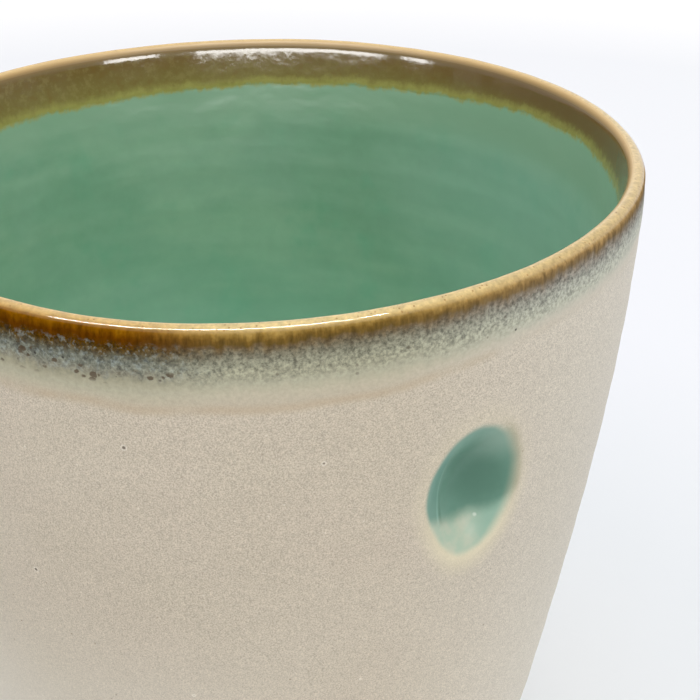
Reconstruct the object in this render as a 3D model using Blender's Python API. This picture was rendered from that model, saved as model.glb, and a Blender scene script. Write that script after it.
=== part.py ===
"""Handleless hand-thrown stoneware cup with one thumb dimple.

The clay body is one fired piece. Four separate glaze coats lie on it: the liner
inside, the rim glaze over the lip, the overlap band under the lip outside, and
the pool in the thumb dimple. Lengths below are millimetres and are scaled to
metres where the meshes are made. The origin is the middle of the foot, +Z is up
and the dimple faces -Y.
"""

import math

import bmesh
import bpy
import numpy as np

MM = 0.001

# Overall size
HEIGHT = 93.0
LIP_CENTRE_R = 43.95  # radius of the ring through the middle of the lip
LIP_R = 1.05  # the lip is a half round of this radius, glaze included
LIP_Z = HEIGHT - LIP_R

# Outside of the wall, from the depth s below the middle of the lip
WALL_TOP_R = 45.12
WALL_TAPER = 0.0021  # straight part of the taper, mm per mm
WALL_BELLY = 6.22  # rounding of the wall, mm at a depth of 50
WALL_EASE = 1.6  # how far the rounding eases off lower down, mm at a depth of 50
WALL_TUCK = 0.095  # the turn-in just above the foot, mm at a depth of 70

# Inside
WALL_T_TOP = 2.22  # wall thickness where the lip starts
WALL_T_BODY = 1.55  # the wall gains this much over the first few mm below the lip
WALL_T_REACH = 5.0
WALL_T_GAIN = 0.011  # then it thickens slowly, mm per mm
FLOOR_Z = 6.8
FILLET_TOP_Z = 24.0
FILLET_END_R = 10.0

# Foot
WALL_END_Z = 2.5
FOOT_BEVEL = ((28.5, 0.9), (27.7, 0.0))
FOOT_INNER = ((23.3, 0.0), (22.2, 1.9))
FOOT_DOME_Z = 2.5

# Glaze coats: each lies COAT_GAP off the clay
COAT_T = 0.4
COAT_GAP = 0.2
EDGE_GAP = 0.3
RIM_DEPTH_OUT = 2.4  # the rim glaze ends here outside, below the top of the lip
BAND_DEPTH = 8.2  # the overlap band ends here outside
RIM_DEPTH_IN = 5.6  # the rim glaze ends here inside
BARE_DEPTH = 15.0  # the clay carries no allowance for glaze below this outside

# Thumb dimple on -Y
DIMPLE_Z = 69.6
DIMPLE_HALF_W = 5.6
DIMPLE_HALF_H = 8.0
DIMPLE_DEPTH = 3.2
DIMPLE_BULGE = 2.6  # the matching swelling inside
POOL_GAP = 0.35
POOL_EDGE = 0.9

# Angular spacing of the meshes, in degrees from -Y
COARSE_STEP = 9.0
FINE_STEP = 3.0
FINE_HALF = 15.0


def wall_curve(s):
    """Radius of the outside at a depth s, before it turns in to the foot."""
    return WALL_TOP_R - WALL_TAPER * s - WALL_BELLY * (s / 50.0) ** 2 + WALL_EASE * (s / 50.0) ** 3


def outer_radius(z):
    s = LIP_Z - np.asarray(z, float)
    return wall_curve(s) - WALL_TUCK * (np.maximum(s, 0.0) / 70.0) ** 16


def inner_radius(z):
    s = LIP_Z - np.asarray(z, float)
    gain = WALL_T_BODY * (1.0 - np.exp(-s / WALL_T_REACH)) + WALL_T_GAIN * s
    return wall_curve(s) - WALL_T_TOP - gain


def smoothstep(t):
    t = np.clip(t, 0.0, 1.0)
    return t * t * (3.0 - 2.0 * t)


def bezier(p0, p1, p2, p3, t):
    t = np.asarray(t, float)[:, None]
    p0, p1, p2, p3 = (np.asarray(p, float) for p in (p0, p1, p2, p3))
    u = 1.0 - t
    return u**3 * p0 + 3 * u**2 * t * p1 + 3 * u * t**2 * p2 + t**3 * p3


def finished_stations():
    """(points, kinds): the glazed surface from above the foot, up the outside,
    over the lip, down the inside to the middle of the floor. kinds is out, lip
    or in."""
    low = [WALL_END_Z, 5.5, 9.5, 15.0, 22.0, 30.0, 39.0, 48.0, 55.0]
    dimple = list(np.arange(59.0, 82.1, 2.3))
    top = [HEIGHT - d for d in (BAND_DEPTH + 0.01, 5.0, RIM_DEPTH_OUT + EDGE_GAP, RIM_DEPTH_OUT)]
    points, kinds = [], []
    for z in low + dimple + top:
        points.append((float(outer_radius(z)), z))
        kinds.append("out")
    for a in np.radians(np.linspace(0.0, 180.0, 9)):
        points.append((LIP_CENTRE_R + LIP_R * math.cos(a), LIP_Z + LIP_R * math.sin(a)))
        kinds.append("lip")
    inside = [HEIGHT - 2.6, HEIGHT - 4.0, HEIGHT - RIM_DEPTH_IN]
    inside += [HEIGHT - RIM_DEPTH_IN - EDGE_GAP, 84.5, 81.0]
    inside += [77.0, 73.5, 70.0, 66.5, 63.0, 58.5, 51.0, 42.0, 33.0, FILLET_TOP_Z]
    for z in inside:
        points.append((float(inner_radius(z)), z))
        kinds.append("in")
    r0 = float(inner_radius(FILLET_TOP_Z))
    slope = float(inner_radius(FILLET_TOP_Z) - inner_radius(FILLET_TOP_Z - 1.0))
    curve = bezier(
        (r0, FILLET_TOP_Z),
        (r0 - 12.0 * slope, FILLET_TOP_Z - 12.0),
        (FILLET_END_R + 14.0, FLOOR_Z),
        (FILLET_END_R, FLOOR_Z),
        np.linspace(0.0, 1.0, 8)[1:],
    )
    for r, z in curve:
        points.append((float(r), float(z)))
        kinds.append("in")
    points.append((0.0, FLOOR_Z))
    kinds.append("in")
    return np.array(points), kinds


def normals(points):
    """Unit normals of the profile, pointing out of the clay."""
    step = np.gradient(points, axis=0)
    n = np.stack([step[:, 1], -step[:, 0]], axis=1)
    n /= np.linalg.norm(n, axis=1)[:, None]
    n[-1] = (0.0, 1.0)
    n[0] = (1.0, 0.0)
    return n


def oval(u, v):
    """1 on the dimple's outline, less inside. u is along the wall and v is up."""
    return np.hypot(u / DIMPLE_HALF_W, v / DIMPLE_HALF_H)


def press(angle, z, r, inside):
    """How far the thumb has pushed the wall towards the axis."""
    angle = np.asarray(angle, float)
    z = np.asarray(z, float)
    u = angle * r
    rho = oval(u, z - DIMPLE_Z)
    spread, depth = (1.4, DIMPLE_BULGE) if inside else (1.13, DIMPLE_DEPTH)
    fade = np.clip(1.0 - (rho / spread) ** 2, 0.0, 1.0) ** 2
    fade = np.where(np.abs(angle) < math.pi / 3, fade, 0.0)
    return depth * fade


def angle_list():
    fine = np.arange(-FINE_HALF, FINE_HALF + 0.01, FINE_STEP)
    count = round((360.0 - 2 * FINE_HALF) / COARSE_STEP)
    coarse = np.linspace(FINE_HALF, 360.0 - FINE_HALF, count + 1)[1:-1]
    return np.radians(np.concatenate([fine, coarse]))


ANGLES = angle_list()


def place(r, z, angle):
    """Angle 0 is -Y, and grows towards +X."""
    return (r * math.sin(angle) * MM, -r * math.cos(angle) * MM, z * MM)


def turned(name, profile, inside, closed):
    """A body turned from a profile of (r, z). A closed profile is a ring; an
    open one starts and ends on the axis. Each profile point says whether the
    dimple reaches it as the inside or the outside of the wall."""
    mesh = bmesh.new()
    rings = []
    for (r, z), within in zip(profile, inside):
        if r < 1e-6:
            rings.append([mesh.verts.new((0.0, 0.0, z * MM))])
            continue
        ring = []
        for angle in ANGLES:
            signed = math.remainder(angle, 2 * math.pi)
            push = float(press(signed, z, r, within)) if z > 40.0 else 0.0
            ring.append(mesh.verts.new(place(r - push, z, angle)))
        rings.append(ring)
    pairs = list(zip(rings, rings[1:]))
    if closed:
        pairs.append((rings[-1], rings[0]))
    for low, high in pairs:
        count = max(len(low), len(high))
        for i in range(count):
            j = (i + 1) % count
            if len(low) == 1:
                mesh.faces.new((low[0], high[j], high[i]))
            elif len(high) == 1:
                mesh.faces.new((low[i], low[j], high[0]))
            else:
                mesh.faces.new((low[i], low[j], high[j], high[i]))
    return finish(name, mesh)


def finish(name, mesh):
    bmesh.ops.recalc_face_normals(mesh, faces=mesh.faces)
    bmesh.ops.triangulate(mesh, faces=mesh.faces)
    data = bpy.data.meshes.new(name)
    mesh.to_mesh(data)
    mesh.free()
    obj = bpy.data.objects.new(name, data)
    bpy.context.scene.collection.objects.link(obj)
    data.shade_smooth()
    data.set_sharp_from_angle(angle=math.radians(40.0))
    return obj


def material(obj, color, roughness, coat=0.0):
    mat = bpy.data.materials.new(obj.name)
    mat.use_nodes = True
    shader = mat.node_tree.nodes["Principled BSDF"]
    shader.inputs["Base Color"].default_value = (*color, 1.0)
    shader.inputs["Roughness"].default_value = roughness
    shader.inputs["Metallic"].default_value = 0.0
    shader.inputs["Coat Weight"].default_value = coat
    obj.data.materials.append(mat)
    return obj


def make_body(points, kinds, out):
    """The fired clay: foot, wall, lip and floor, cut back where glaze covers it."""
    allowance = np.full(len(points), COAT_T + COAT_GAP)
    for i, kind in enumerate(kinds):
        if kind == "out":
            depth = HEIGHT - points[i, 1]
            allowance[i] *= float(smoothstep((BARE_DEPTH - depth) / (BARE_DEPTH - BAND_DEPTH)))
    clay = points - out * allowance[:, None]
    clay[-1, 0] = 0.0
    foot = [(0.0, FOOT_DOME_Z), *reversed(FOOT_INNER), *reversed(FOOT_BEVEL)]
    profile = foot + [tuple(p) for p in clay]
    inside = [False] * len(foot) + [kind == "in" for kind in kinds]
    return turned("stoneware_body", profile, inside, closed=False)


def make_coat(name, points, kinds, out, first, last):
    """A coat between two stations of the finished surface, COAT_T thick."""
    face = points[first : last + 1]
    back = face - out[first : last + 1] * COAT_T
    within = [kind == "in" for kind in kinds[first : last + 1]]
    if face[-1, 0] < 1e-6:
        # The liner runs to the axis on both of its faces.
        profile = [tuple(p) for p in face[::-1]] + [tuple(p) for p in back]
        profile[-1] = (0.0, profile[-1][1])
        return turned(name, profile, within[::-1] + within, closed=False)
    profile = [tuple(p) for p in face] + [tuple(p) for p in back[::-1]]
    return turned(name, profile, within + within[::-1], closed=True)


def make_pool():
    """The glaze in the dimple, on a web of rings and spokes inside its outline."""
    mesh = bmesh.new()
    spokes, rings = 20, (0.25, 0.5, 0.72, POOL_EDGE)

    def point(rho, turn, lift):
        u = rho * DIMPLE_HALF_W * math.cos(turn)
        z = DIMPLE_Z + rho * DIMPLE_HALF_H * math.sin(turn)
        r = float(outer_radius(z))
        angle = u / r
        push = float(press(angle, z, r, False))
        return mesh.verts.new(place(r - push + lift, z, angle))

    def sheet(lift):
        middle = point(0.0, 0.0, lift)
        loops = [[point(rho, 2 * math.pi * k / spokes, lift) for k in range(spokes)] for rho in rings]
        return middle, loops

    lower = sheet(POOL_GAP)
    upper = sheet(POOL_GAP + COAT_T)
    for middle, loops in (lower, upper):
        for k in range(spokes):
            j = (k + 1) % spokes
            mesh.faces.new((middle, loops[0][k], loops[0][j]))
            for a, b in zip(loops, loops[1:]):
                mesh.faces.new((a[k], b[k], b[j], a[j]))
    for k in range(spokes):
        j = (k + 1) % spokes
        mesh.faces.new((lower[1][-1][k], lower[1][-1][j], upper[1][-1][j], upper[1][-1][k]))
    return finish("dimple_glaze", mesh)


def build():
    for obj in list(bpy.data.objects):
        bpy.data.objects.remove(obj, do_unlink=True)
    points, kinds = finished_stations()
    out = normals(points)

    def station(kind, depth):
        gaps = [
            abs(HEIGHT - p[1] - depth) if k == kind else 1e9 for p, k in zip(points, kinds)
        ]
        return int(np.argmin(gaps))

    material(make_body(points, kinds, out), (0.57, 0.50, 0.41), 0.75)
    band = make_coat(
        "overlap_band_glaze",
        points,
        kinds,
        out,
        station("out", BAND_DEPTH),
        station("out", RIM_DEPTH_OUT + EDGE_GAP),
    )
    material(band, (0.40, 0.42, 0.33), 0.35, 0.3)
    rim = make_coat(
        "rim_glaze",
        points,
        kinds,
        out,
        station("out", RIM_DEPTH_OUT),
        station("in", RIM_DEPTH_IN),
    )
    material(rim, (0.30, 0.16, 0.05), 0.12, 0.6)
    liner = make_coat(
        "liner_glaze",
        points,
        kinds,
        out,
        station("in", RIM_DEPTH_IN + EDGE_GAP),
        len(points) - 1,
    )
    material(liner, (0.13, 0.28, 0.18), 0.18, 0.5)
    material(make_pool(), (0.18, 0.34, 0.27), 0.12, 0.6)


build()
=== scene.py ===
"""Looks for the handleless stoneware cup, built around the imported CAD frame.

Lengths in the shape functions are millimetres. Angle 0 is -Y, the side with the
dimple, and grows towards +X.
"""

import math

import bpy
import numpy as np
from mathutils import Matrix, Vector


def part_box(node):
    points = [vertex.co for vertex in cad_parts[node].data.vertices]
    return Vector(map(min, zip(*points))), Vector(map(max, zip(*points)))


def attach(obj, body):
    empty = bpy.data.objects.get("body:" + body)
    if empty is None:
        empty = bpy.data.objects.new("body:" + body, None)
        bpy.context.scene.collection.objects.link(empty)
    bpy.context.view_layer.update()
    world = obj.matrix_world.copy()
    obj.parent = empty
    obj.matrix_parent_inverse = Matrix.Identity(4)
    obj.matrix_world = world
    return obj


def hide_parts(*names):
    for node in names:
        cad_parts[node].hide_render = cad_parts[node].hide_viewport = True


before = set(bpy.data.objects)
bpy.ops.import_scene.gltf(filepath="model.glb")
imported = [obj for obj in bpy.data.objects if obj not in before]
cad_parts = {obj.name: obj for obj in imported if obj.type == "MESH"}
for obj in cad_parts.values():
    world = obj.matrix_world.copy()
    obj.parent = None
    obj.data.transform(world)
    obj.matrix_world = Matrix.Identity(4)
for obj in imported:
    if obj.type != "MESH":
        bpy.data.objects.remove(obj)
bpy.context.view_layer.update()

MM = 0.001
RIM_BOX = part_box("rim_glaze")
HEIGHT = RIM_BOX[1][2] / MM
LIP_R = 1.05
LIP_CENTRE_R = 43.95
LIP_DEEP = 2.1  # the inner side of the lip is drawn down this far
LIP_Z = HEIGHT - LIP_R
# How far the rim is out of round and uneven in height, by second and third harmonics.
ROUND_OFF = (-0.064, 0.109, 0.105, -0.165)
WARP = (-0.317, -0.06, -0.113, 0.172)
HALF_LIP = LIP_R * math.pi / 2  # path length from the top of the lip to its side
VIEW_TURN = math.radians(29.1)  # the dimple lies this far to the right of the camera

# ---------------------------------------------------------------- shape


def wall_curve(s):
    return 45.12 - 0.0021 * s - 6.22 * (s / 50.0) ** 2 + 1.6 * (s / 50.0) ** 3


def outer_radius(z):
    s = np.maximum(LIP_Z - np.asarray(z, float), 0.0)
    return wall_curve(s) - 0.095 * (s / 70.0) ** 16 - 0.12 * np.exp(-((s / 1.6) ** 2))


def inner_radius(z):
    s = LIP_Z - np.asarray(z, float)
    t = s - 0.48
    return wall_curve(s) - 2.18 - 1.4 * (1.0 - np.exp(-t / 10.0)) - 0.011 * t


def smoothstep(a, b, x):
    t = np.clip((np.asarray(x, float) - a) / (b - a), 0.0, 1.0)
    return t * t * (3.0 - 2.0 * t)


def bezier(p, t):
    t = np.asarray(t, float)[:, None]
    p = [np.asarray(v, float) for v in p]
    u = 1.0 - t
    return u**3 * p[0] + 3 * u**2 * t * p[1] + 3 * u * t**2 * p[2] + t**3 * p[3]


def contour():
    """The finished profile as (q, r, z): q runs along it, 0 at the top of the
    lip, growing down the outside and falling down the inside."""
    a = np.radians(np.linspace(90.0, 0.0, 60))
    lip_out = np.stack([LIP_CENTRE_R + LIP_R * np.cos(a), LIP_Z + LIP_R * np.sin(a)], 1)
    z = np.linspace(LIP_Z, 2.6, 900)[1:]
    wall_out = np.stack([outer_radius(z), z], 1)
    out = np.concatenate([lip_out, wall_out])
    a = np.radians(np.linspace(90.0, 15.7, 80))
    lip_in = np.stack([LIP_CENTRE_R - LIP_R * np.cos(a), HEIGHT - LIP_DEEP + LIP_DEEP * np.sin(a)], 1)
    z = np.linspace(lip_in[-1, 1], 24.0, 700)[1:]
    wall_in = np.stack([inner_radius(z), z], 1)
    r0 = float(inner_radius(24.0))
    slope = float(inner_radius(24.0) - inner_radius(23.0))
    bend = bezier([(r0, 24.0), (r0 - 12 * slope, 12.0), (24.0, 6.8), (10.0, 6.8)], np.linspace(0, 1, 260))[1:]
    floor = np.stack([np.linspace(10.0, 0.0, 60)[1:], np.full(59, 6.8)], 1)
    inn = np.concatenate([lip_in, wall_in, bend, floor])

    def along(path):
        return np.concatenate([[0.0], np.cumsum(np.linalg.norm(np.diff(path, axis=0), axis=1))])

    qo, qi = along(out), -along(inn)
    q = np.concatenate([qi[::-1], qo[1:]])
    path = np.concatenate([inn[::-1], out[1:]])
    step = np.gradient(path, q, axis=0)
    normal = np.stack([-step[:, 1], step[:, 0]], 1)
    normal /= np.linalg.norm(normal, axis=1)[:, None]
    return q, path, normal


Q, PATH, NORMAL = contour()
Q_FLOOR, Q_FOOT = Q[0], Q[-1]


def harmonics(angle, terms):
    total = np.zeros_like(angle)
    for count, size, phase in terms:
        total += size * np.cos(count * angle + phase)
    return total


DIMPLE_Z, DIMPLE_W, DIMPLE_H = 69.6, 5.6, 8.0


def oval(u, v):
    return np.hypot(u / DIMPLE_W, v / DIMPLE_H)


def press(angle, z, r, inside):
    angle = np.arctan2(np.sin(angle), np.cos(angle))
    rho = oval(angle * r, z - DIMPLE_Z)
    if inside:
        fade = np.clip(1.0 - (rho / 1.4) ** 2, 0.0, 1.0) ** 2
        depth = 2.6
    else:
        fade = np.clip(1.0 - (rho / 1.13) ** 2, 0.0, 1.0) ** 1.7
        depth = 3.3
    return np.where(np.abs(angle) < math.pi / 3, depth * fade, 0.0)


def surface(q, angle, lift=0.0):
    """Points (mm) on the finished surface at path place q and angle, lifted
    along its normal. Carries the marks of throwing and of the thumb."""
    q, angle = np.broadcast_arrays(np.asarray(q, float), np.asarray(angle, float))
    r = np.interp(q, Q, PATH[:, 0])
    z = np.interp(q, Q, PATH[:, 1])
    nr = np.interp(q, Q, NORMAL[:, 0])
    nz = np.interp(q, Q, NORMAL[:, 1])
    length = np.hypot(nr, nz)
    nr, nz = nr / length, nz / length
    inside = q < 0
    away = np.abs(q)
    # Throwing rings: stronger inside, faint outside, fading out at the lip.
    turn = angle / (2 * math.pi)
    ring_in = 0.028 * np.sin(2 * math.pi * (away / 6.3 + turn)) + 0.012 * np.sin(
        2 * math.pi * (away / 2.9 - turn + 0.3)
    )
    ring_out = 0.022 * np.sin(2 * math.pi * (away / 7.7 + turn)) + 0.012 * np.sin(
        2 * math.pi * (away / 3.1 + 2 * turn + 0.2)
    )
    fade = smoothstep(4.0, 14.0, away)
    centre = smoothstep(0.0, 6.0, r)
    rings = np.where(inside, ring_in, ring_out) * fade * centre
    # The lip is not quite even in thickness, and the coat swells where it gathered.
    lip = np.exp(-((q / 2.2) ** 2)) * harmonics(angle, [(4, 0.03, 0.4), (7, 0.025, 2.1), (13, 0.015, 1.0)])
    bump = rings + lip + lift
    pushed = np.where(z > 40.0, press(angle, z, r, False), 0.0)
    pushed_in = np.where(z > 40.0, press(angle, z, r, True), 0.0)
    pushed = np.where(inside, pushed_in, pushed)
    r = r + nr * bump - pushed
    z = z + nz * bump
    # Slight out-of-round and uneven height towards the rim.
    high = smoothstep(0.0, HEIGHT, z)
    view = angle + VIEW_TURN
    waves = (np.cos(2 * view), np.sin(2 * view), np.cos(3 * view), np.sin(3 * view))
    round_off = sum(k * wave for k, wave in zip(ROUND_OFF, waves))
    warp = sum(k * wave for k, wave in zip(WARP, waves))
    r = r + high * round_off * smoothstep(0.0, 8.0, r)
    z = z + high**3 * warp
    return np.stack([r * np.sin(angle), -r * np.cos(angle), z], -1)


def grid_object(name, rows, pole_first=None, pole_last=None, ring=True):
    """A closed body from rows of points round the cup, with optional end poles."""
    rows = np.asarray(rows)
    count, seg = rows.shape[:2]
    points = [rows.reshape(-1, 3)]
    base = np.arange(seg)
    nxt = (base + 1) % seg
    faces = []
    pairs = [(i, i + 1) for i in range(count - 1)] + ([(count - 1, 0)] if ring else [])
    for i, j in pairs:
        faces.append(np.stack([i * seg + base, i * seg + nxt, j * seg + nxt, j * seg + base], 1))
    quads = np.concatenate(faces)
    tris = []
    total = count * seg
    for pole, row, flip in ((pole_first, 0, True), (pole_last, count - 1, False)):
        if pole is None:
            continue
        points.append(np.asarray(pole, float)[None])
        a, b = row * seg + base, row * seg + nxt
        if flip:
            a, b = b, a
        tris.append(np.stack([a, b, np.full(seg, total)], 1))
        total += 1
    co = np.concatenate(points) * MM
    mesh = bpy.data.meshes.new(name)
    loops = quads.reshape(-1)
    starts = np.arange(len(quads)) * 4
    if tris:
        tri = np.concatenate(tris)
        starts = np.concatenate([starts, len(loops) + np.arange(len(tri)) * 3])
        loops = np.concatenate([loops, tri.reshape(-1)])
    mesh.vertices.add(len(co))
    mesh.vertices.foreach_set("co", co.astype(np.float32).reshape(-1))
    mesh.loops.add(len(loops))
    mesh.loops.foreach_set("vertex_index", loops.astype(np.int32))
    mesh.polygons.add(len(starts))
    mesh.polygons.foreach_set("loop_start", starts.astype(np.int32))
    mesh.update(calc_edges=True)
    mesh.validate()
    mesh.polygons.foreach_set("use_smooth", np.ones(len(mesh.polygons), bool))
    obj = bpy.data.objects.new(name, mesh)
    bpy.context.scene.collection.objects.link(obj)
    return obj


def spaced(stops):
    """Path places from (q, step) stops: the spacing changes evenly between them."""
    out = [stops[0][0]]
    for (q0, d0), (q1, d1) in zip(stops, stops[1:]):
        n = max(2, int(round(abs(q1 - q0) / ((d0 + d1) / 2))))
        t = np.linspace(0, 1, n + 1)[1:]
        w = (d0 * t + (d1 - d0) * t * t / 2) / ((d0 + d1) / 2)
        out += list(q0 + (q1 - q0) * w)
    return np.array(out)


def angles(seg):
    return np.arange(seg) * 2 * math.pi / seg


def ragged(angle, terms, seed):
    """A smooth irregular line round the cup, the same each run."""
    rng = np.random.default_rng(seed)
    total = np.zeros_like(angle)
    for count, size in terms:
        total += size * np.cos(count * angle + rng.uniform(0, 2 * math.pi))
    return total


# ---------------------------------------------------------------- pieces


def make_body():
    """The fired clay. Under the coats it lies a little below the finished face."""
    seg = 400
    a = angles(seg)[None, :]
    q = spaced([(Q_FOOT, 0.5), (70.0, 0.7), (46.0, 0.6), (32.0, 0.45), (12.0, 0.45), (6.4, 0.4)])[:, None]
    outer = surface(q, a)
    under_band = surface(spaced([(6.0, 0.5), (0.3, 0.4)])[:, None], a, -0.3)
    inner = surface(spaced([(-0.3, 0.4), (-12.0, 1.3), (Q_FLOOR + 1.2, 1.4)])[:, None], a, -0.3)
    foot = []
    profile = [(22.0, 2.15), (22.35, 2.0), (22.75, 1.5), (23.1, 0.7), (23.35, 0.22), (23.7, 0.03), (24.2, 0.0)]
    profile += [(r, 0.0) for r in (24.9, 25.6, 26.3, 27.0)]
    profile += [(27.5, 0.04), (27.9, 0.25), (28.35, 0.75), (28.75, 1.4), (29.0, 2.0)]
    dome = [(r, 2.5 - 0.35 * (r / 22.0) ** 3) for r in np.linspace(1.0, 21.2, 26)]
    ang = a[0]
    for r, z in dome + profile:
        mark = 0.03 * math.sin(2 * math.pi * r / 1.7) if r < 21.5 else 0.0
        wave = 0.05 * np.cos(2 * ang + 0.7) if r > 27.2 else 0.0
        rr = r + wave
        foot.append(np.stack([rr * np.sin(ang), -rr * np.cos(ang), np.full(seg, z + mark)], -1))
    rows = np.concatenate([np.array(foot), outer, under_band, inner])
    return grid_object("clay_body", rows, (0, 0, 2.5), (0, 0, 6.5), ring=False)


def make_coat(name, q_rows, seg, lift, back=-0.35):
    """A glaze coat: its face is lifted off the finished surface by lift(q, angle)
    and its back lies in the clay. Where lift falls under 0 the coat has run out."""
    a = angles(seg)[None, :]
    q = q_rows[:, None]
    face = surface(q, a, lift(q, a))
    edge = lift(q[[0, -1]], a)
    rear = surface(q[::-1], a, back)
    del edge
    rows = np.concatenate([face, rear])
    return grid_object(name, rows, ring=True)


def make_liner():
    seg = 320
    a = angles(seg)[None, :]
    q = spaced([(-2.2, 0.4), (-9.0, 0.5), (-40.0, 0.75), (Q_FLOOR + 0.9, 0.8)])[:, None]
    face = surface(q, a, 0.0)
    rear = surface(spaced([(Q_FLOOR + 0.9, 3.0), (-2.2, 3.0)])[:, None], a, -0.26)
    rows = np.concatenate([rear, face])
    # Both ends are closed on the axis, so the rows run rear then face.
    rows = np.concatenate([surface(q[::-1], a, 0.0), surface(q, a, -0.26)])
    return grid_object("aqua_liner", rows, tuple(surface(Q_FLOOR, 0.0, 0.0)), tuple(surface(Q_FLOOR, 0.0, -0.26)), ring=False)


def liner_edge(angle):
    """Depth below the lip's top at which the rim glaze ends inside, in mm."""
    view = angle + VIEW_TURN
    edge = 5.95 + 0.75 * np.cos(view - math.radians(220.0))
    edge = edge - 1.3 * np.exp(11.4 * (np.cos(view - math.radians(112.0)) - 1.0))
    return edge - 0.4 * np.exp(11.4 * (np.cos(view - math.radians(165.0)) - 1.0))


def make_lip():
    seg = 720
    a = angles(seg)[None, :]

    def lift(q, ang):
        inner_end = HALF_LIP + liner_edge(ang) - LIP_R + 0.15
        inner_end = inner_end + ragged(ang, [(23, 0.08), (41, 0.06), (67, 0.05)], 5)
        inside = 1.0 - smoothstep(-0.9, 0.5, -q - inner_end)
        outside = 1.0 - smoothstep(2.2, 3.6, q + ragged(ang, [(17, 0.1), (37, 0.1), (83, 0.08)], 7))
        swell = 0.03 * (1.0 + 0.4 * ragged(ang, [(31, 0.5), (57, 0.5)], 9))
        height = 0.02 + swell
        return np.where(q < 0, inside, outside) * (height + 0.10) - 0.10

    q = spaced([(4.0, 0.22), (2.4, 0.16), (0.0, 0.11), (-2.6, 0.13), (-9.0, 0.3)])
    return make_coat("amber_lip", q, seg, lift, back=-0.28)


def make_band():
    seg = 640

    def lift(q, ang):
        end = 8.2 + ragged(ang, [(5, 0.3), (11, 0.2), (29, 0.12), (53, 0.08)], 11)
        view = ang + VIEW_TURN
        end = end - 0.4 * np.sin(view)
        low = 1.0 - smoothstep(-2.6, 0.6, q - end)
        high = smoothstep(1.7, 2.7, q)
        return low * high * 0.09 - 0.04

    q = spaced([(9.6, 0.35), (1.7, 0.3)])
    return make_coat("speckle_band", q, seg, lift, back=-0.27)


def make_pool():
    """The glaze pooled in the dimple: thickest at the bottom of the print."""
    rings, spokes = 84, 180
    rho = np.linspace(0.0, 1.68, rings + 1)[1:]
    turn = np.arange(spokes) * 2 * math.pi / spokes

    def at(rh, t, lift):
        u = rh * DIMPLE_W * np.cos(t)
        z = DIMPLE_Z + rh * DIMPLE_H * np.sin(t)
        q = HALF_LIP + np.interp(z, PATH[::-1][: len(PATH) // 2, 1], Q[::-1][: len(PATH) // 2] - HALF_LIP)
        r = outer_radius(z)
        return surface(q, u / r, lift)

    def lift(rh, t):
        run = 0.05 * np.cos(3 * t + 0.5) + 0.03 * np.cos(7 * t + 1.0)
        full = 1.0 - smoothstep(0.72, 1.12, rh + run)
        return full * 0.16 + 0.04 - 0.09 * smoothstep(1.46, 1.62, rh)

    t = turn[None, :]
    rh = rho[:, None]
    face = at(rh, t, lift(rh, t))
    rear = at(rh[::-1], t, -0.35)
    rows = np.concatenate([face, rear])
    obj = grid_object(
        "dimple_pool", rows, tuple(at(np.array(0.0), np.array(0.0), lift(0.0, 0.0))), tuple(at(np.array(0.0), np.array(0.0), -0.35)), ring=False
    )
    return obj


# ---------------------------------------------------------------- materials


LIGHT = 1.25  # how bright a white wall of the cup stands in the studio light
INSIDE_LIGHT = 0.62


def lin(rgb):
    out = []
    for v in rgb:
        v = v / 255.0
        out.append(v / 12.92 if v <= 0.04045 else ((v + 0.055) / 1.055) ** 2.4)
    return out


def tone(rgb, gloss=0.012, light=LIGHT):
    """The base colour that looks like rgb under the studio light, where the
    gloss adds a little white and the light is light times full."""
    return [min(max((v - gloss) / light, 0.001), 0.97) for v in lin(rgb)]


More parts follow.
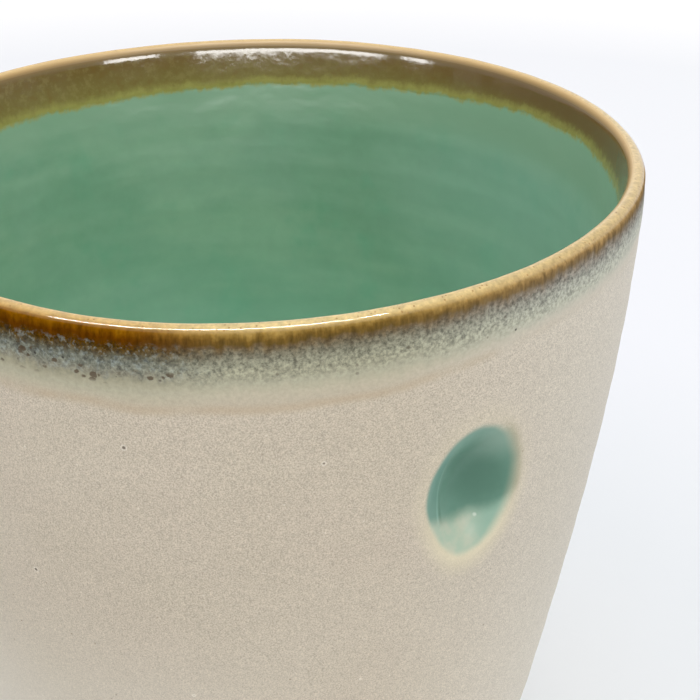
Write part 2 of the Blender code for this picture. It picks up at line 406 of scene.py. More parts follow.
class Nodes:
    """Builds a node tree from short calls. A value is a socket or a number."""

    def __init__(self, mat):
        mat.use_nodes = True
        self.tree = mat.node_tree
        self.tree.nodes.clear()
        self.x = 0

    def new(self, kind, **props):
        node = self.tree.nodes.new(kind)
        for key, value in props.items():
            setattr(node, key, value)
        self.x += 30
        node.location = (self.x, -self.x * 0.3)
        return node

    def put(self, socket, value):
        if isinstance(value, bpy.types.NodeSocket):
            self.tree.links.new(value, socket)
        elif isinstance(value, (tuple, list)) and socket.type == "RGBA" and len(value) == 3:
            socket.default_value = (*value, 1.0)
        else:
            socket.default_value = value

    def math(self, op, a, b=None, c=None, clamp=False):
        node = self.new("ShaderNodeMath", operation=op, use_clamp=clamp)
        for i, v in enumerate((a, b, c)):
            if v is not None:
                self.put(node.inputs[i], v)
        return node.outputs[0]

    def add(self, a, b):
        return self.math("ADD", a, b)

    def sub(self, a, b):
        return self.math("SUBTRACT", a, b)

    def mul(self, a, b):
        return self.math("MULTIPLY", a, b)

    def div(self, a, b):
        return self.math("DIVIDE", a, b)

    def vmath(self, op, a, b=None, scale=None):
        node = self.new("ShaderNodeVectorMath", operation=op)
        self.put(node.inputs[0], a)
        if b is not None:
            self.put(node.inputs[1], b)
        if scale is not None:
            self.put(node.inputs["Scale"], scale)
        return node.outputs["Value" if op in ("LENGTH", "DOT_PRODUCT") else "Vector"]

    def split(self, v):
        return self.new_split(v)

    def new_split(self, v):
        node = self.new("ShaderNodeSeparateXYZ")
        self.put(node.inputs[0], v)
        return node.outputs

    def join(self, x, y, z):
        node = self.new("ShaderNodeCombineXYZ")
        for i, v in enumerate((x, y, z)):
            self.put(node.inputs[i], v)
        return node.outputs[0]

    def noise(self, vector, scale, detail=2.0, rough=0.5, distortion=0.0):
        node = self.new("ShaderNodeTexNoise")
        self.put(node.inputs["Vector"], vector)
        self.put(node.inputs["Scale"], scale)
        self.put(node.inputs["Detail"], detail)
        self.put(node.inputs["Roughness"], rough)
        self.put(node.inputs["Distortion"], distortion)
        return node.outputs["Fac"]

    def cells(self, vector, scale, feature="F1"):
        node = self.new("ShaderNodeTexVoronoi", feature=feature)
        self.put(node.inputs["Vector"], vector)
        self.put(node.inputs["Scale"], scale)
        return node.outputs

    def span(self, value, a, b, lo=0.0, hi=1.0, smooth=True):
        node = self.new("ShaderNodeMapRange", interpolation_type="SMOOTHSTEP" if smooth else "LINEAR")
        self.put(node.inputs["Value"], value)
        for key, v in (("From Min", a), ("From Max", b), ("To Min", lo), ("To Max", hi)):
            self.put(node.inputs[key], v)
        return node.outputs["Result"]

    def ramp(self, value, stops, interpolation="LINEAR"):
        node = self.new("ShaderNodeValToRGB")
        self.put(node.inputs[0], value)
        ramp = node.color_ramp
        ramp.interpolation = interpolation
        while len(ramp.elements) > 1:
            ramp.elements.remove(ramp.elements[-1])
        for i, (place, colour) in enumerate(stops):
            element = ramp.elements[0] if i == 0 else ramp.elements.new(place)
            element.position = place
            element.color = (*colour, 1.0)
        return node.outputs["Color"]

    def mix(self, fac, a, b, blend="MIX"):
        node = self.new("ShaderNodeMix", data_type="RGBA", blend_type=blend)
        self.put(node.inputs["Factor"], fac)
        self.put(node.inputs[6], a)
        self.put(node.inputs[7], b)
        return node.outputs[2]

    def tint(self, colour, amount):
        """colour times a grey amount."""
        grey = self.join(amount, amount, amount)
        return self.mix(1.0, colour, grey, "MULTIPLY")

    def fmix(self, fac, a, b):
        node = self.new("ShaderNodeMix", data_type="FLOAT")
        self.put(node.inputs["Factor"], fac)
        self.put(node.inputs[2], a)
        self.put(node.inputs[3], b)
        return node.outputs[0]

    def bump(self, height, strength, distance, normal=None):
        node = self.new("ShaderNodeBump")
        self.put(node.inputs["Height"], height)
        self.put(node.inputs["Strength"], strength)
        self.put(node.inputs["Distance"], distance)
        if normal is not None:
            self.put(node.inputs["Normal"], normal)
        return node.outputs["Normal"]


class Field(Nodes):
    """The cup's own coordinates, in millimetres, and the colours laid on them."""

    def __init__(self, mat):
        super().__init__(mat)
        coord = self.new("ShaderNodeTexCoord").outputs["Object"]
        self.p = self.vmath("SCALE", coord, scale=1000.0)
        self.px, self.py, self.pz = self.split(self.p)
        self.r = self.vmath("LENGTH", self.join(self.px, self.py, 0.0))
        self.angle = self.math("ARCTAN2", self.px, self.mul(self.py, -1.0))
        self.view = self.add(self.angle, VIEW_TURN)
        high = self.span(self.pz, 0.0, HEIGHT)
        waves = []
        for fold in (2.0, 3.0):
            turn = self.mul(self.view, fold)
            waves += [self.math("COSINE", turn), self.math("SINE", turn)]
        round_off, warp = 0.0, 0.0
        for wave, out, lift in zip(waves, ROUND_OFF, WARP):
            round_off = self.add(self.mul(wave, out), round_off)
            warp = self.add(self.mul(wave, lift), warp)
        self.top_r = self.sub(self.r, self.mul(round_off, high))
        self.top_z = self.sub(self.pz, self.mul(warp, self.math("POWER", high, 3.0)))
        self.depth = self.sub(HEIGHT, self.top_z)

    def q_out(self):
        return self.add(self.depth, HALF_LIP - LIP_R)

    def q_in(self):
        return self.mul(self.q_out(), -1.0)

    def q_lip(self):
        over = self.math("MAXIMUM", self.sub(self.top_z, LIP_Z), 0.0)
        under = self.math("MAXIMUM", self.sub(LIP_Z, self.top_z), 0.0)
        aside = self.sub(self.top_r, LIP_CENTRE_R)
        tilt = self.math("ARCTAN2", over, aside)
        curve = self.mul(self.sub(math.pi / 2, tilt), LIP_R)
        return self.add(curve, self.mul(self.math("SIGN", aside), under))

    # -- bare clay

    def clay(self):
        p = self.p
        broad = self.noise(p, 0.035, 3.0, 0.55)
        drift = self.noise(self.vmath("ADD", p, (31.0, 7.0, 3.0)), 0.06, 2.0, 0.5)
        colour = self.mix(self.span(broad, 0.3, 0.7), CLAY_A, CLAY_B)
        colour = self.mix(self.mul(self.span(drift, 0.35, 0.75), 0.5), colour, CLAY_PINK)
        # Painted light: away from the dark side of the lip, towards the lit right of the view, the clay is painted a
        # shade paler.
        side = self.span(self.math("SINE", self.view), 0.2, 0.95)
        colour = self.mix(self.mul(side, 0.75), colour, CLAY_PAINTED_LIGHT)
        grain = self.noise(p, 1.5, 3.0, 0.6)
        fine = self.noise(self.vmath("ADD", p, (5.0, 9.0, 1.0)), 6.5, 2.0, 0.6)
        shade = self.add(self.span(grain, 0.32, 0.68, -0.05, 0.05, False), self.span(fine, 0.34, 0.66, -0.24, 0.22, False))
        colour = self.tint(colour, self.add(shade, 1.0))
        # Painted light: paler and up to a tenth brighter towards the foot, paler most on the left of the view.
        low = self.span(self.pz, 62.0, 26.0)
        colour = self.mix(self.mul(low, self.span(self.math("SINE", self.view), 0.3, -0.3, 0.1, 0.7)), colour, CLAY_PAINTED_LIGHT)
        colour = self.tint(colour, self.add(self.mul(low, 0.10), 1.0))
        # Fine iron specks, pale grains and a few larger dark specks.
        small = self.cells(p, 0.62)
        pick = self.split(small["Color"])
        size = self.span(pick[0], 0.45, 1.0, 0.02, 0.085, False)
        speck = self.span(self.sub(small["Distance"], size), -0.03, 0.03, 1.0, 0.0)
        speck = self.mul(speck, self.span(pick[0], 0.40, 0.50))
        colour = self.mix(self.mul(speck, self.span(pick[1], 0.0, 1.0, 0.25, 0.75, False)), colour, lin((122, 106, 86)))
        pale = self.cells(self.vmath("ADD", p, (7.0, 1.0, 4.0)), 0.8)
        pick = self.split(pale["Color"])
        dot = self.mul(self.span(pale["Distance"], 0.04, 0.12, 1.0, 0.0), self.span(pick[0], 0.5, 0.65))
        colour = self.mix(self.mul(dot, 0.40), colour, lin((232, 224, 208)))
        large = self.cells(self.vmath("ADD", p, (2.0, 4.0, 8.0)), 0.17)
        pick = self.split(large["Color"])
        size = self.span(pick[0], 0.3, 1.0, 0.008, 0.030, False)
        spot = self.span(self.sub(large["Distance"], size), -0.012, 0.010, 1.0, 0.0)
        spot = self.mul(spot, self.span(pick[0], 0.35, 0.45))
        colour = self.mix(self.mul(spot, 0.8), colour, lin((74, 60, 46)))
        ring = self.math("ABSOLUTE", self.sub(self.sub(large["Distance"], size), 0.02))
        ring = self.mul(self.span(ring, 0.0, 0.014, 1.0, 0.0), self.span(pick[0], 0.35, 0.45))
        colour = self.mix(self.mul(ring, 0.45), colour, lin((236, 230, 216)))
        height = self.add(self.mul(grain, 0.5), self.mul(fine, 0.45))
        height = self.sub(height, self.mul(spot, 1.2))
        height = self.sub(height, self.mul(speck, 0.3))
        return colour, height

    # -- the band under the lip, outside

    def outside(self, q, clay):
        """Colour of the rim glaze and the overlap band over the clay, by q."""
        p = self.p
        flat = self.vmath("MULTIPLY", p, (1.0, 1.0, 0.16))
        streak = self.noise(flat, 0.7, 3.0, 0.6)
        slow = self.noise(p, 0.07, 2.0, 0.5)
        jitter = self.noise(p, 1.1, 2.0, 0.6)
        # Wider and darker on the left of the view, narrower and paler on the right.
        sway = self.math("SINE", self.view)
        left = self.span(sway, -0.02, -0.27)
        right = self.span(sway, 0.20, 0.72)
        back = self.span(self.math("COSINE", self.view), 0.5, -0.6, 0.0, 0.7)
        left = self.math("MAXIMUM", left, self.mul(back, 0.8))
        right = self.mul(right, self.sub(1.0, back))
        near = self.mul(self.span(q, 0.7, 1.6), self.span(q, 9.5, 6.0))
        warp = self.add(self.mul(self.sub(streak, 0.5), 1.3), self.mul(self.sub(slow, 0.5), 0.9))
        warp = self.mul(self.add(warp, self.mul(self.sub(jitter, 0.5), 0.9)), near)
        w = self.add(q, warp)
        t = self.math("DIVIDE", w, 10.0, clamp=True)
        colour = self.mix(left, self.ramp(t, MID_RAMP), self.ramp(t, LEFT_RAMP))
        colour = self.mix(right, colour, self.ramp(t, RIGHT_RAMP))
        # Honey on the lip breaks to fine brown speckle.
        small = self.cells(p, 2.3)
        dot = self.span(small["Distance"], 0.10, 0.34, 1.0, 0.0)
        dot = self.mul(dot, self.span(self.split(small["Color"])[0], 0.5, 0.8))
        top = self.mul(self.span(q, -1.2, -0.4), self.span(q, 1.3, 0.7))
        colour = self.mix(self.mul(self.mul(dot, top), 0.7), colour, tone((164, 112, 58)))
        cloud = self.noise(p, 1.3, 2.0, 0.6)
        colour = self.tint(colour, self.add(1.0, self.mul(self.span(cloud, 0.3, 0.7, -0.16, 0.12, False), top)))
        # Streaks in the brown.
        brown = self.mul(self.span(w, 0.8, 1.2), self.span(w, 3.0, 2.2))
        fine_streak = self.noise(self.vmath("MULTIPLY", p, (1.0, 1.0, 0.25)), 1.7, 3.0, 0.65)
        lines = self.span(fine_streak, 0.32, 0.68, -0.30, 0.34, False)
        colour = self.tint(colour, self.add(1.0, self.mul(lines, brown)))
        # Mottling where the two glazes break up over each other.
        zone = self.mul(self.span(w, 1.9, 2.7), self.span(w, 6.6, 4.4))
        mott = self.noise(p, 1.6, 3.0, 0.62)
        grit = self.noise(self.vmath("ADD", p, (11.0, 3.0, 5.0)), 2.4, 3.0, 0.7)
        light = self.mul(self.span(mott, 0.50, 0.64), self.mul(zone, left))
        colour = self.mix(self.mul(light, 0.34), colour, tone((160, 172, 170)))
        dark = self.mul(self.span(mott, 0.48, 0.34), self.mul(zone, left))
        colour = self.mix(self.mul(dark, 0.5), colour, tone((78, 74, 68)))
        colour = self.tint(colour, self.add(1.0, self.mul(self.span(grit, 0.34, 0.64, -0.46, 0.46, False), zone)))
        # Round dark specks, and tiny pits with painted shade in them.
        spots = self.cells(self.vmath("ADD", p, (3.0, 1.0, 2.0)), 1.05)
        pick = self.split(spots["Color"])
        size = self.span(pick[0], 0.4, 1.0, 0.03, 0.22, False)
        speck = self.span(self.sub(spots["Distance"], size), -0.09, 0.05, 1.0, 0.0)
        wide = self.mul(self.span(w, 2.3, 3.0), self.span(w, 6.6, 5.8))
        speck = self.mul(self.mul(speck, self.span(pick[1], 0.45, 0.6)), wide)
        colour = self.mix(self.mul(speck, self.fmix(left, 0.5, 0.75)), colour, tone((84, 70, 54)))
        pits = self.cells(self.vmath("ADD", p, (13.0, 6.0, 1.0)), 0.55)
        shaded_pit = self.mul(self.span(pits["Distance"], 0.05, 0.10, 1.0, 0.0), self.span(self.split(pits["Color"])[0], 0.55, 0.65))
        shaded_pit = self.mul(shaded_pit, self.mul(self.span(w, 2.8, 3.6), self.span(w, 7.0, 6.2)))
        # Painted shade: each pit is painted near black.
        colour = self.mix(self.mul(shaded_pit, 0.85), colour, lin((44, 40, 34)))
        # Larger rusty spots along the lower edge, left of the view.
        big = self.cells(self.vmath("ADD", self.vmath("MULTIPLY", p, (1.0, 1.0, 1.3)), (6.0, 2.0, 9.0)), 0.95)
        pick = self.split(big["Color"])
        size = self.span(pick[0], 0.0, 1.0, 0.14, 0.42, False)
        ragged_edge = self.mul(self.sub(grit, 0.5), 0.4)
        spot = self.span(self.sub(self.add(big["Distance"], ragged_edge), size), -0.10, 0.05, 1.0, 0.0)
        start = self.span(sway, -0.34, -0.50, 4.6, 3.0)
        row = self.mul(self.span(self.sub(q, start), 0.0, 0.6), self.span(q, 6.7, 6.1))
        spot = self.mul(self.mul(spot, row), self.span(left, 0.25, 0.7))
        spot = self.mul(spot, self.span(pick[2], 0.02, 0.08))
        colour = self.mix(self.mul(spot, 0.85), colour, tone((86, 68, 46)))
        # Cream and the faint rusty tide line, fading into the clay.
        end = self.add(8.7, self.sub(self.mul(self.sub(slow, 0.5), 2.0), self.mul(right, 1.6)))
        end = self.add(end, self.mul(left, 0.4))
        fade = self.span(self.sub(q, end), -1.5, 1.1)
        line = self.span(self.math("ABSOLUTE", self.sub(self.sub(q, end), 0.0)), 0.0, 0.9, 1.0, 0.0)
        line = self.mul(line, self.sub(1.0, self.mul(right, 0.85)))
        line = self.mul(line, self.span(self.noise(p, 0.16, 2.0, 0.5), 0.35, 0.6))
        grain = self.noise(p, 2.6, 2.0, 0.6)
        colour = self.tint(colour, self.span(grain, 0.3, 0.7, 0.92, 1.07, False))
        colour = self.mix(fade, colour, clay)
        colour = self.mix(self.mul(line, 0.5), colour, TIDE)
        # Glossy on the lip, duller down the outside.
        rough = self.fmix(self.span(q, 0.98, 1.2), 0.07, 0.42)
        rough = self.fmix(self.span(q, 4.5, 7.6), rough, CLAY_ROUGH)
        self.level = self.add(self.span(q, 0.92, 1.1, 0.5, 0.0), self.span(q, 2.4, 7.0, 0.0, 0.32))
        height = self.add(self.mul(self.mul(grit, zone), 0.8), self.mul(self.add(speck, shaded_pit), -0.7))
        return colour, rough, height, fade

    # -- inside: aqua liner and the rim glaze over it

    def inside(self, q):
        p = self.p
        down = self.mul(q, -1.0)
        flat = self.vmath("MULTIPLY", p, (0.7, 0.7, 2.0))
        cloud = self.noise(p, 0.05, 3.0, 0.6)
        patch = self.noise(self.vmath("ADD", p, (17.0, 2.0, 41.0)), 0.11, 3.0, 0.6)
        band = self.noise(flat, 0.06, 3.0, 0.55)
        colour = self.mix(self.span(cloud, 0.32, 0.68), AQUA_A, AQUA_B)
        colour = self.mix(self.mul(self.span(band, 0.42, 0.68), 0.55), colour, AQUA_PALE)
        colour = self.mix(self.mul(self.span(patch, 0.50, 0.72), 0.5), colour, AQUA_DEEP)
        veil = self.noise(p, 0.35, 4.0, 0.6)
        colour = self.tint(colour, self.span(veil, 0.25, 0.75, 0.95, 1.05, False))
        # Painted light: the aqua is painted paler and brighter down the wall and on the right of the view, standing in
        # for light reaching deep into the cup.
        turned = self.span(self.math("SINE", self.view), 0.35, 1.0)
        colour = self.mix(self.mul(self.math("MAXIMUM", self.span(down, 22.0, 60.0), turned), 0.5), colour, AQUA_PAINTED_LIGHT)
        deep_painted_light = self.add(self.span(down, 8.0, 70.0, 1.0, 1.28), self.span(down, 42.0, 72.0, 0.0, 0.22))
        colour = self.tint(colour, deep_painted_light)
        under = self.mul(self.span(down, 4.0, 5.6), self.span(down, 14.0, 8.5))
        colour = self.mix(self.mul(under, 0.75), colour, AQUA_RIM)
        # The rim glaze running down over it.
        edge = self.add(
            5.95 + HALF_LIP - LIP_R,
            self.mul(self.math("COSINE", self.sub(self.view, math.radians(220.0))), 0.75),
        )
        for size, where in ((1.3, 112.0), (0.4, 165.0)):
            dip = self.sub(self.math("COSINE", self.sub(self.view, math.radians(where))), 1.0)
            edge = self.sub(edge, self.mul(self.math("EXPONENT", self.mul(dip, 11.4)), size))
        drip = self.noise(self.vmath("MULTIPLY", p, (1.0, 1.0, 0.4)), 0.5, 3.0, 0.6)
        slow = self.noise(p, 0.10, 2.0, 0.5)
        fine = self.noise(p, 1.3, 3.0, 0.65)
        edge = self.add(edge, self.mul(self.sub(drip, 0.5), 1.3))
        edge = self.add(edge, self.mul(self.sub(slow, 0.5), 1.0))
        edge = self.add(edge, self.mul(self.sub(fine, 0.5), 1.1))
        above = self.sub(edge, down)
        brown = self.ramp(self.math("DIVIDE", down, 8.0, clamp=True), INNER_RAMP)
        mott = self.noise(p, 0.75, 4.0, 0.7)
        zone = self.mul(self.span(down, 1.2, 2.4), self.span(above, 0.2, 0.9))
        left = self.span(self.math("SINE", self.view), 0.3, -0.6)
        brown = self.mix(self.mul(self.mul(self.span(mott, 0.48, 0.64), zone), self.fmix(left, 0.15, 0.3)), brown, tone((130, 118, 78), 0.012, INSIDE_LIGHT))
        brown = self.mix(self.mul(self.mul(self.span(mott, 0.48, 0.34), zone), 0.4), brown, tone((100, 78, 44), 0.012, INSIDE_LIGHT))
        ruddy = self.mul(self.span(self.math("SINE", self.view), 0.4, 0.9), self.span(down, 4.6, 2.8))
        ruddy = self.mul(ruddy, self.span(down, 1.1, 1.6))
        brown = self.mix(self.mul(ruddy, 0.8), brown, tone((106, 84, 56), 0.012, 0.80))
        olive = self.span(self.add(above, self.mul(self.sub(mott, 0.5), 1.6)), 1.7, 0.2)
        brown = self.mix(self.mul(olive, 0.85), brown, tone((136, 132, 76), 0.012, INSIDE_LIGHT))
        cover = self.span(above, -0.45, 0.40)
        colour = self.mix(cover, colour, brown)
        rough = self.fmix(self.span(down, 1.4, 1.1), 0.11, 0.40)
        rough = self.fmix(self.span(down, 0.45, 0.2), rough, 0.13)
        rough = self.fmix(cover, 0.22, rough)
        return colour, rough, self.mul(veil, 0.5)

    def shader(self, colour, rough, normal, specular=0.5, coat=0.0, coat_rough=0.05):
        node = self.new("ShaderNodeBsdfPrincipled")
        self.put(node.inputs["Base Color"], colour)
        self.put(node.inputs["Roughness"], rough)
        self.put(node.inputs["Normal"], normal)
        self.put(node.inputs["Specular IOR Level"], specular)
        node.inputs["Coat Weight"].default_value = coat
        node.inputs["Coat Roughness"].default_value = coat_rough
        out = self.new("ShaderNodeOutputMaterial")
        self.tree.links.new(node.outputs[0], out.inputs["Surface"])
        return node


CLAY_ROUGH = 0.55
CLAY_A = tone((204, 192, 171), 0.02)
CLAY_B = tone((209, 197, 177), 0.02)
CLAY_PINK = tone((207, 193, 174), 0.02)
# Painted light: the paler clay colour laid on the lit side and towards the foot.
CLAY_PAINTED_LIGHT = tone((218, 212, 198), 0.02)
TIDE = tone((192, 170, 138), 0.02)
AQUA_A = tone((103, 136, 113), 0.015, INSIDE_LIGHT)
AQUA_B = tone((110, 140, 119), 0.015, INSIDE_LIGHT)
AQUA_PALE = tone((122, 150, 126), 0.015, INSIDE_LIGHT)
AQUA_DEEP = tone((91, 136, 111), 0.015, INSIDE_LIGHT)
# Painted light: paler aqua laid deep in the cup and on its right.
AQUA_PAINTED_LIGHT = tone((131, 165, 151), 0.015, INSIDE_LIGHT)
AQUA_RIM = tone((115, 142, 119), 0.015, INSIDE_LIGHT)


def ramp_of(stops, gloss, light, full):
    return [(q / full, tone(rgb, gloss, light)) for q, rgb in stops]


LEFT_RAMP = ramp_of([
    (0.0, (232, 196, 134)), (0.45, (226, 188, 120)), (0.68, (208, 164, 92)), (0.86, (160, 112, 36)),
    (1.10, (134, 88, 8)), (1.40, (114, 73, 3)), (1.75, (99, 61, 2)), (2.25, (93, 62, 8)),
    (2.65, (88, 66, 28)), (3.05, (94, 78, 50)), (3.5, (102, 98, 80)), (4.1, (120, 123, 110)),
    (4.7, (131, 133, 117)), (5.3, (143, 140, 120)), (5.9, (160, 156, 129)), (6.5, (176, 171, 144)),
    (7.1, (184, 179, 153)), (7.8, (190, 182, 156)), (8.6, (192, 180, 154)), (9.4, (190, 178, 153)),
], 0.012, LIGHT, 10.0)
MID_RAMP = ramp_of([
    (0.0, (236, 208, 150)), (0.50, (240, 213, 150)), (0.72, (226, 194, 126)), (0.90, (196, 164, 98)),
    (1.15, (158, 128, 70)), (1.50, (128, 101, 54)), (1.95, (113, 92, 54)), (2.25, (116, 99, 73)),
    (2.65, (121, 111, 90)), (3.0, (130, 125, 106)), (3.5, (143, 141, 121)), (4.1, (156, 155, 133)),
    (4.7, (164, 162, 138)), (5.3, (171, 169, 144)), (5.9, (181, 178, 153)), (6.5, (190, 184, 158)),
    (7.1, (198, 189, 164)), (7.8, (197, 186, 162)), (8.6, (194, 182, 158)), (9.4, (197, 185, 163)),
], 0.012, LIGHT, 10.0)
RIGHT_RAMP = ramp_of([
    (0.0, (230, 202, 146)), (0.50, (216, 188, 128)), (0.85, (206, 176, 119)), (1.10, (180, 150, 102)),
    (1.40, (145, 119, 82)), (1.80, (131, 112, 84)), (2.25, (140, 129, 113)), (2.65, (145, 138, 126)),
    (3.0, (151, 148, 137)), (3.5, (161, 161, 149)), (4.1, (173, 174, 160)), (4.7, (180, 181, 165)),
    (5.3, (185, 186, 168)), (5.9, (196, 194, 176)), (6.5, (205, 199, 181)), (7.1, (207, 200, 183)),
    (9.4, (206, 199, 183)),
], 0.012, LIGHT, 10.0)
INNER_RAMP = ramp_of([
    (0.0, (218, 192, 146)), (0.35, (196, 167, 118)), (0.65, (174, 143, 95)), (0.95, (150, 121, 76)),
    (1.25, (122, 99, 62)), (1.7, (108, 89, 53)), (2.5, (108, 88, 52)), (3.5, (111, 95, 56)),
    (4.6, (116, 102, 60)), (5.8, (120, 108, 62)), (7.0, (120, 112, 64)),
], 0.012, 0.80, 8.0)


MADE = {}


def material(name):
    """A new material, kept by its slot, because the frame brings plain ones of the same names."""
    MADE[name] = bpy.data.materials.new(name + "_fired" if name != "studio_floor" else name)
    return MADE[name]


def clay_material():
    f = Field(material("bare_stoneware"))
    clay, height = f.clay()
    colour, rough, band_height, fade = f.outside(f.q_out(), clay)
    inside_foot = f.span(f.pz, 0.0, 1.2)
    rough = f.fmix(inside_foot, 0.75, rough)
    normal = f.bump(height, 0.55, 0.00012)
    f.shader(colour, rough, normal, f.level)
    return f.tree


def band_material():
    f = Field(material("speckled_glaze"))
    clay, clay_height = f.clay()
    colour, rough, height, fade = f.outside(f.q_out(), clay)
    normal = f.bump(clay_height, 0.5, 0.00010)
    normal = f.bump(height, 0.5, 0.00010, normal)
    f.shader(colour, rough, normal, f.level)


def lip_material():
    f = Field(material("amber_glaze"))
    q = f.q_lip()
    clay, clay_height = f.clay()
    colour, rough, height, fade = f.outside(q, clay)
    inner, inner_rough, inner_height = f.inside(q)
    side = f.span(q, -0.5, 0.1)
    colour = f.mix(side, inner, colour)
    rough = f.fmix(side, inner_rough, rough)
    wavy = f.noise(f.p, 0.5, 2.0, 0.5)
    normal = f.bump(wavy, 0.35, 0.00010)
    f.shader(colour, rough, normal, f.fmix(side, 0.42, f.level))


def liner_material():
    f = Field(material("aqua_glaze"))
    colour, rough, height = f.inside(f.q_in())
    wavy = f.noise(f.vmath("MULTIPLY", f.p, (1.0, 1.0, 1.8)), 0.16, 2.0, 0.5)
    normal = f.bump(wavy, 0.4, 0.0003)
    f.shader(colour, rough, normal, 0.42)


def pool_material():
    f = Field(material("pool_glaze"))
    clay, clay_height = f.clay()
    a = f.div(f.mul(f.angle, 44.0), DIMPLE_W)
    b = f.mul(f.div(f.sub(f.pz, DIMPLE_Z + 0.1), DIMPLE_H), 1.035)
    rho = f.math("SQRT", f.add(f.mul(a, a), f.mul(b, b)))
    # The coat runs less far at the lower left.
    t = math.radians(215.0)
    toward = f.div(f.add(f.mul(a, math.cos(t)), f.mul(b, math.sin(t))), f.math("MAXIMUM", rho, 0.05))
    pull = f.math("POWER", f.math("MAXIMUM", toward, 0.0), 6.0)
    rho = f.mul(rho, f.add(1.0, f.mul(pull, 0.16)))
    wob = f.noise(f.p, 0.35, 2.0, 0.5)
    rho = f.add(rho, f.mul(f.sub(wob, 0.5), 0.06))
    # Darkest about a point right of the centre, paler out to the edge and to the upper right.
    da, db = f.sub(a, 0.35), f.sub(b, 0.02)
    far = f.math("SQRT", f.add(f.mul(da, da), f.mul(db, db)))
    cloud = f.noise(f.p, 0.4, 3.0, 0.55)
    far = f.add(far, f.mul(f.sub(cloud, 0.5), 0.5))
    teal = f.ramp(far, POOL_RAMP)
    corner = f.mul(f.span(a, -0.1, 0.7), f.span(b, 0.15, 0.75))
    teal = f.mix(f.mul(corner, 0.8), teal, tone((150, 177, 160)))
    # A fold line down the left, drawn in colour only: painted highlight on its crease and outer side, painted shade
    # inside it.
    bend = f.add(-0.55, f.mul(f.mul(f.sub(b, 0.1), f.sub(b, 0.1)), 0.10))
    off = f.sub(a, bend)
    reach = f.mul(f.span(b, -0.62, -0.45), f.span(b, 0.75, 0.3))
    fold_lit_strip = f.span(off, 0.02, -0.06)
    teal = f.mix(f.mul(fold_lit_strip, 0.55), teal, tone((116, 158, 144)))
    crease_highlight = f.mul(f.span(f.math("ABSOLUTE", f.add(off, 0.03)), 0.0, 0.05, 1.0, 0.0), reach)
    teal = f.mix(f.mul(crease_highlight, 0.6), teal, tone((160, 198, 182)))
    # Painted shade along the inner side of the fold.
    shade = f.mul(f.span(f.math("ABSOLUTE", f.sub(off, 0.06)), 0.0, 0.07, 1.0, 0.0), f.mul(reach, f.span(b, 0.1, -0.4)))
    teal = f.mix(f.mul(shade, 0.5), teal, tone((74, 122, 102)))
    # Painted reflection of a bright light over the lowest part, pale green, cream and blue, with a clear upper edge.
    level = f.add(-0.56, f.sub(f.mul(f.mul(a, a), 0.33), f.mul(f.math("MAXIMUM", f.sub(a, 0.25), 0.0), 0.17)))
    level = f.add(level, f.mul(f.sub(cloud, 0.5), 0.10))
    reflection_mask = f.span(f.sub(b, level), 0.13, -0.10)
    soft = f.noise(f.vmath("ADD", f.p, (4.0, 4.0, 4.0)), 0.55, 3.0, 0.6)
    reflection_colour = f.mix(f.span(soft, 0.35, 0.65), REFLECTION_GREEN, REFLECTION_CREAM)
    reflection_colour = f.mix(f.span(a, 0.1, 0.6), reflection_colour, REFLECTION_BLUE)
    colour_in = f.mix(reflection_mask, teal, reflection_colour)
    # A painted glint: a small white highlight dot low in the pool.
    glint = f.math("SQRT", f.add(f.math("POWER", f.sub(a, 0.36), 2.0), f.math("POWER", f.mul(f.sub(b, -0.575), 1.4), 2.0)))
    colour_in = f.mix(f.mul(f.span(glint, 0.05, 0.015), 0.55), colour_in, tone((232, 240, 226)))
    # Around it: a yellow-cream stain, strongest below, and at the right an olive stain with painted shade.
    halo = f.span(rho, 1.55, 0.98)
    low = f.span(b, 0.5, -0.9)
    base = f.mix(f.mul(halo, f.fmix(low, 0.25, 0.8)), clay, tone((232, 221, 188), 0.02))
    # Painted shade with an olive stain on the right shoulder of the dimple.
    olive = f.mul(f.mul(f.span(rho, 1.28, 1.05), f.span(a, 0.35, 0.85)), f.span(b, -0.55, -0.1))
    base = f.mix(f.mul(olive, 0.75), base, tone((176, 170, 142), 0.02))
    rightward = f.span(a, 0.3, 0.9)
    inner_edge = f.fmix(rightward, 0.96, 0.87)
    outer_edge = f.fmix(rightward, 1.10, 1.16)
    cover = f.div(f.sub(outer_edge, rho), f.sub(outer_edge, inner_edge))
    cover = f.span(cover, 0.0, 1.0)
    colour = f.mix(cover, base, colour_in)
    rough = f.fmix(cover, CLAY_ROUGH, 0.30)
    wavy = f.noise(f.p, 0.3, 2.0, 0.5)
    normal = f.bump(f.mul(clay_height, f.sub(1.0, cover)), 0.5, 0.00010)
    normal = f.bump(wavy, 0.25, 0.0002, normal)
    f.shader(colour, rough, normal, f.fmix(cover, 0.32, 0.10))


POOL_RAMP = [
    (0.00, tone((97, 134, 116))),
    (0.35, tone((101, 139, 121))),
    (0.70, tone((112, 151, 133))),
    (1.00, tone((130, 166, 149))),
]
# Painted reflection colours for the lowest part of the pool.
REFLECTION_GREEN = tone((182, 201, 179))
REFLECTION_CREAM = tone((197, 204, 182))
REFLECTION_BLUE = tone((158, 190, 170))

# ---------------------------------------------------------------- build


body = make_body()
clay_material()
liner = make_liner()
liner_material()
lip = make_lip()
lip_material()
band = make_band()
band_material()
pool = make_pool()
pool_material()

for piece, node, mat in (
    (body, "stoneware_body", "bare_stoneware"),
    (liner, "liner_glaze", "aqua_glaze"),
    (lip, "rim_glaze", "amber_glaze"),
    (band, "overlap_band_glaze", "speckled_glaze"),
    (pool, "dimple_glaze", "pool_glaze"),
):
    piece.data.materials.append(MADE[mat])
    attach(piece, "root")
    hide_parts(node)

# ---------------------------------------------------------------- stage

TURN = Matrix.Rotation(-VIEW_TURN, 4, "Z")  # from the camera's own frame to the cup's


def stage_point(x, y, z):
    return TURN @ Vector((x * MM, y * MM, z * MM))


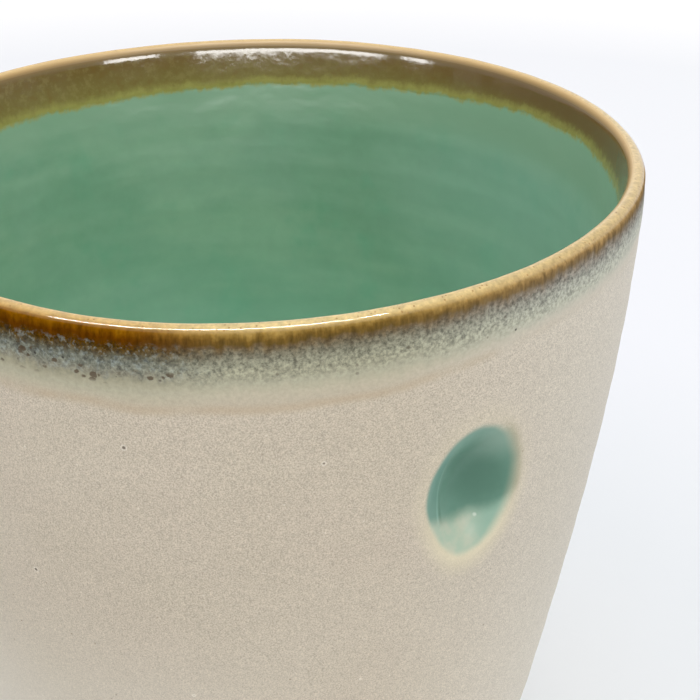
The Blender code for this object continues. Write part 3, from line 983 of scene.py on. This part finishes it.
def make_floor():
    mesh = bpy.data.meshes.new("studio_floor")
    seg, rings = 96, [0.0, 0.2, 0.6, 1.2, 2.2, 3.0]
    verts, faces = [(0.0, 0.0, 0.0)], []
    for r in rings[1:]:
        for k in range(seg):
            t = 2 * math.pi * k / seg
            verts.append((r * math.cos(t), r * math.sin(t), 0.0))
    for k in range(seg):
        faces.append((0, 1 + k, 1 + (k + 1) % seg))
    for i in range(len(rings) - 2):
        for k in range(seg):
            a, b = 1 + i * seg + k, 1 + i * seg + (k + 1) % seg
            faces.append((a, a + seg, b + seg, b))
    mesh.from_pydata(verts, [], faces)
    obj = bpy.data.objects.new("studio_floor", mesh)
    bpy.context.scene.collection.objects.link(obj)
    mat = material("studio_floor")
    n = Nodes(mat)
    coord = n.new("ShaderNodeTexCoord").outputs["Object"]
    soft = n.noise(coord, 3.0, 2.0, 0.5)
    away = n.vmath("LENGTH", coord)
    tint = n.mix(soft, (0.995, 1.0, 1.0), (1.0, 0.995, 1.0))
    # Painted shade: the floor is painted darker near the cup and a little darker out to about 0.4 m, paler beyond.
    colour = n.ramp(away, [
        (0.05, (0.79, 0.81, 0.83)), (0.08, (0.775, 0.80, 0.83)), (0.15, (0.83, 0.84, 0.88)),
        (0.36, (0.845, 0.855, 0.885)), (0.44, (0.97, 0.965, 0.97)), (0.7, (0.97, 0.97, 0.97)),
    ])
    colour = n.vmath("MULTIPLY", colour, tint)
    shader = n.new("ShaderNodeBsdfPrincipled")
    n.put(shader.inputs["Base Color"], colour)
    shader.inputs["Roughness"].default_value = 0.8
    shader.inputs["Specular IOR Level"].default_value = 0.1
    out = n.new("ShaderNodeOutputMaterial")
    n.tree.links.new(shader.outputs[0], out.inputs["Surface"])
    mesh.materials.append(mat)
    return obj


make_floor()

world = bpy.data.worlds.new("studio")
bpy.context.scene.world = world
world.use_nodes = True
background = world.node_tree.nodes["Background"]
background.inputs["Color"].default_value = (1.0, 1.0, 1.0, 1.0)
background.inputs["Strength"].default_value = 1.0


def area_light(name, place, aim, size, size_y, power, glossy_only=False, roll=0.0, colour=(1, 1, 1)):
    data = bpy.data.lights.new(name, "AREA")
    data.shape = "RECTANGLE"
    data.size = size * MM
    data.size_y = size_y * MM
    data.energy = power
    data.color = colour
    obj = bpy.data.objects.new(name, data)
    bpy.context.scene.collection.objects.link(obj)
    start, end = stage_point(*place), stage_point(*aim)
    turn = (end - start).to_track_quat("-Z", "Y").to_matrix().to_4x4() @ Matrix.Rotation(roll, 4, "Z")
    obj.matrix_world = Matrix.Translation(start) @ turn
    obj.visible_camera = False
    if glossy_only:
        obj.visible_diffuse = False
    return obj


def radiance_power(size, size_y, radiance):
    """Watts that give an area light this radiance."""
    return radiance * math.pi * (size * MM) * (size_y * MM)


# A soft key from the upper right, in front.
key = area_light("soft_key", (220, -330, 700), (0, 0, 60), 420, 420, radiance_power(420, 420, 2.4))
key.visible_glossy = False
# A long high bar and three low windows, seen only as reflections in the glaze.
area_light("high_bar", (-75, -122, 591), (-75, -45, 92), 560, 22, radiance_power(560, 22, 90.0), True)
for label, start, end in (("left", 43, 26), ("middle", 15, -45), ("right", -54, -62)):
    angle = math.radians((start + end) / 2)
    wide = 2 * 700 * math.tan(math.radians(abs(start - end) / 2))
    spot = (700 * math.sin(angle), 44 - 700 * math.cos(angle), 92 + (130 if label == "left" else 112))
    area_light(label + "_window", spot, (0, 44, 92), wide, 180, radiance_power(wide, 180, 22.0), True)

# Camera at the photograph's viewing angle.
FOCAL = 1380.0
yaw, pitch, roll = 0.07879, 0.49854, 0.00267
place = Vector((0.0, -151.39, 56.31 + LIP_Z)) * MM
forward = Vector((math.sin(yaw) * math.cos(pitch), math.cos(yaw) * math.cos(pitch), -math.sin(pitch)))
right = Vector((math.cos(yaw), -math.sin(yaw), 0.0))
up = right.cross(forward)
right_r = right * math.cos(roll) + up * math.sin(roll)
up_r = up * math.cos(roll) - right * math.sin(roll)
pose = Matrix((right_r, up_r, -forward)).transposed().to_4x4()
pose.translation = place
camera_data = bpy.data.cameras.new("camera")
camera_data.sensor_width = 36.0
camera_data.lens = 36.0 * FOCAL / 700.0
camera_data.clip_start = 0.001
camera_data.clip_end = 20.0
camera = bpy.data.objects.new("camera", camera_data)
bpy.context.scene.collection.objects.link(camera)
camera.matrix_world = TURN @ pose
bpy.context.scene.camera = camera

scene = bpy.context.scene
scene.view_settings.view_transform = "Standard"
scene.view_settings.look = "None"
scene.view_settings.exposure = 0.0
scene.view_settings.gamma = 1.0
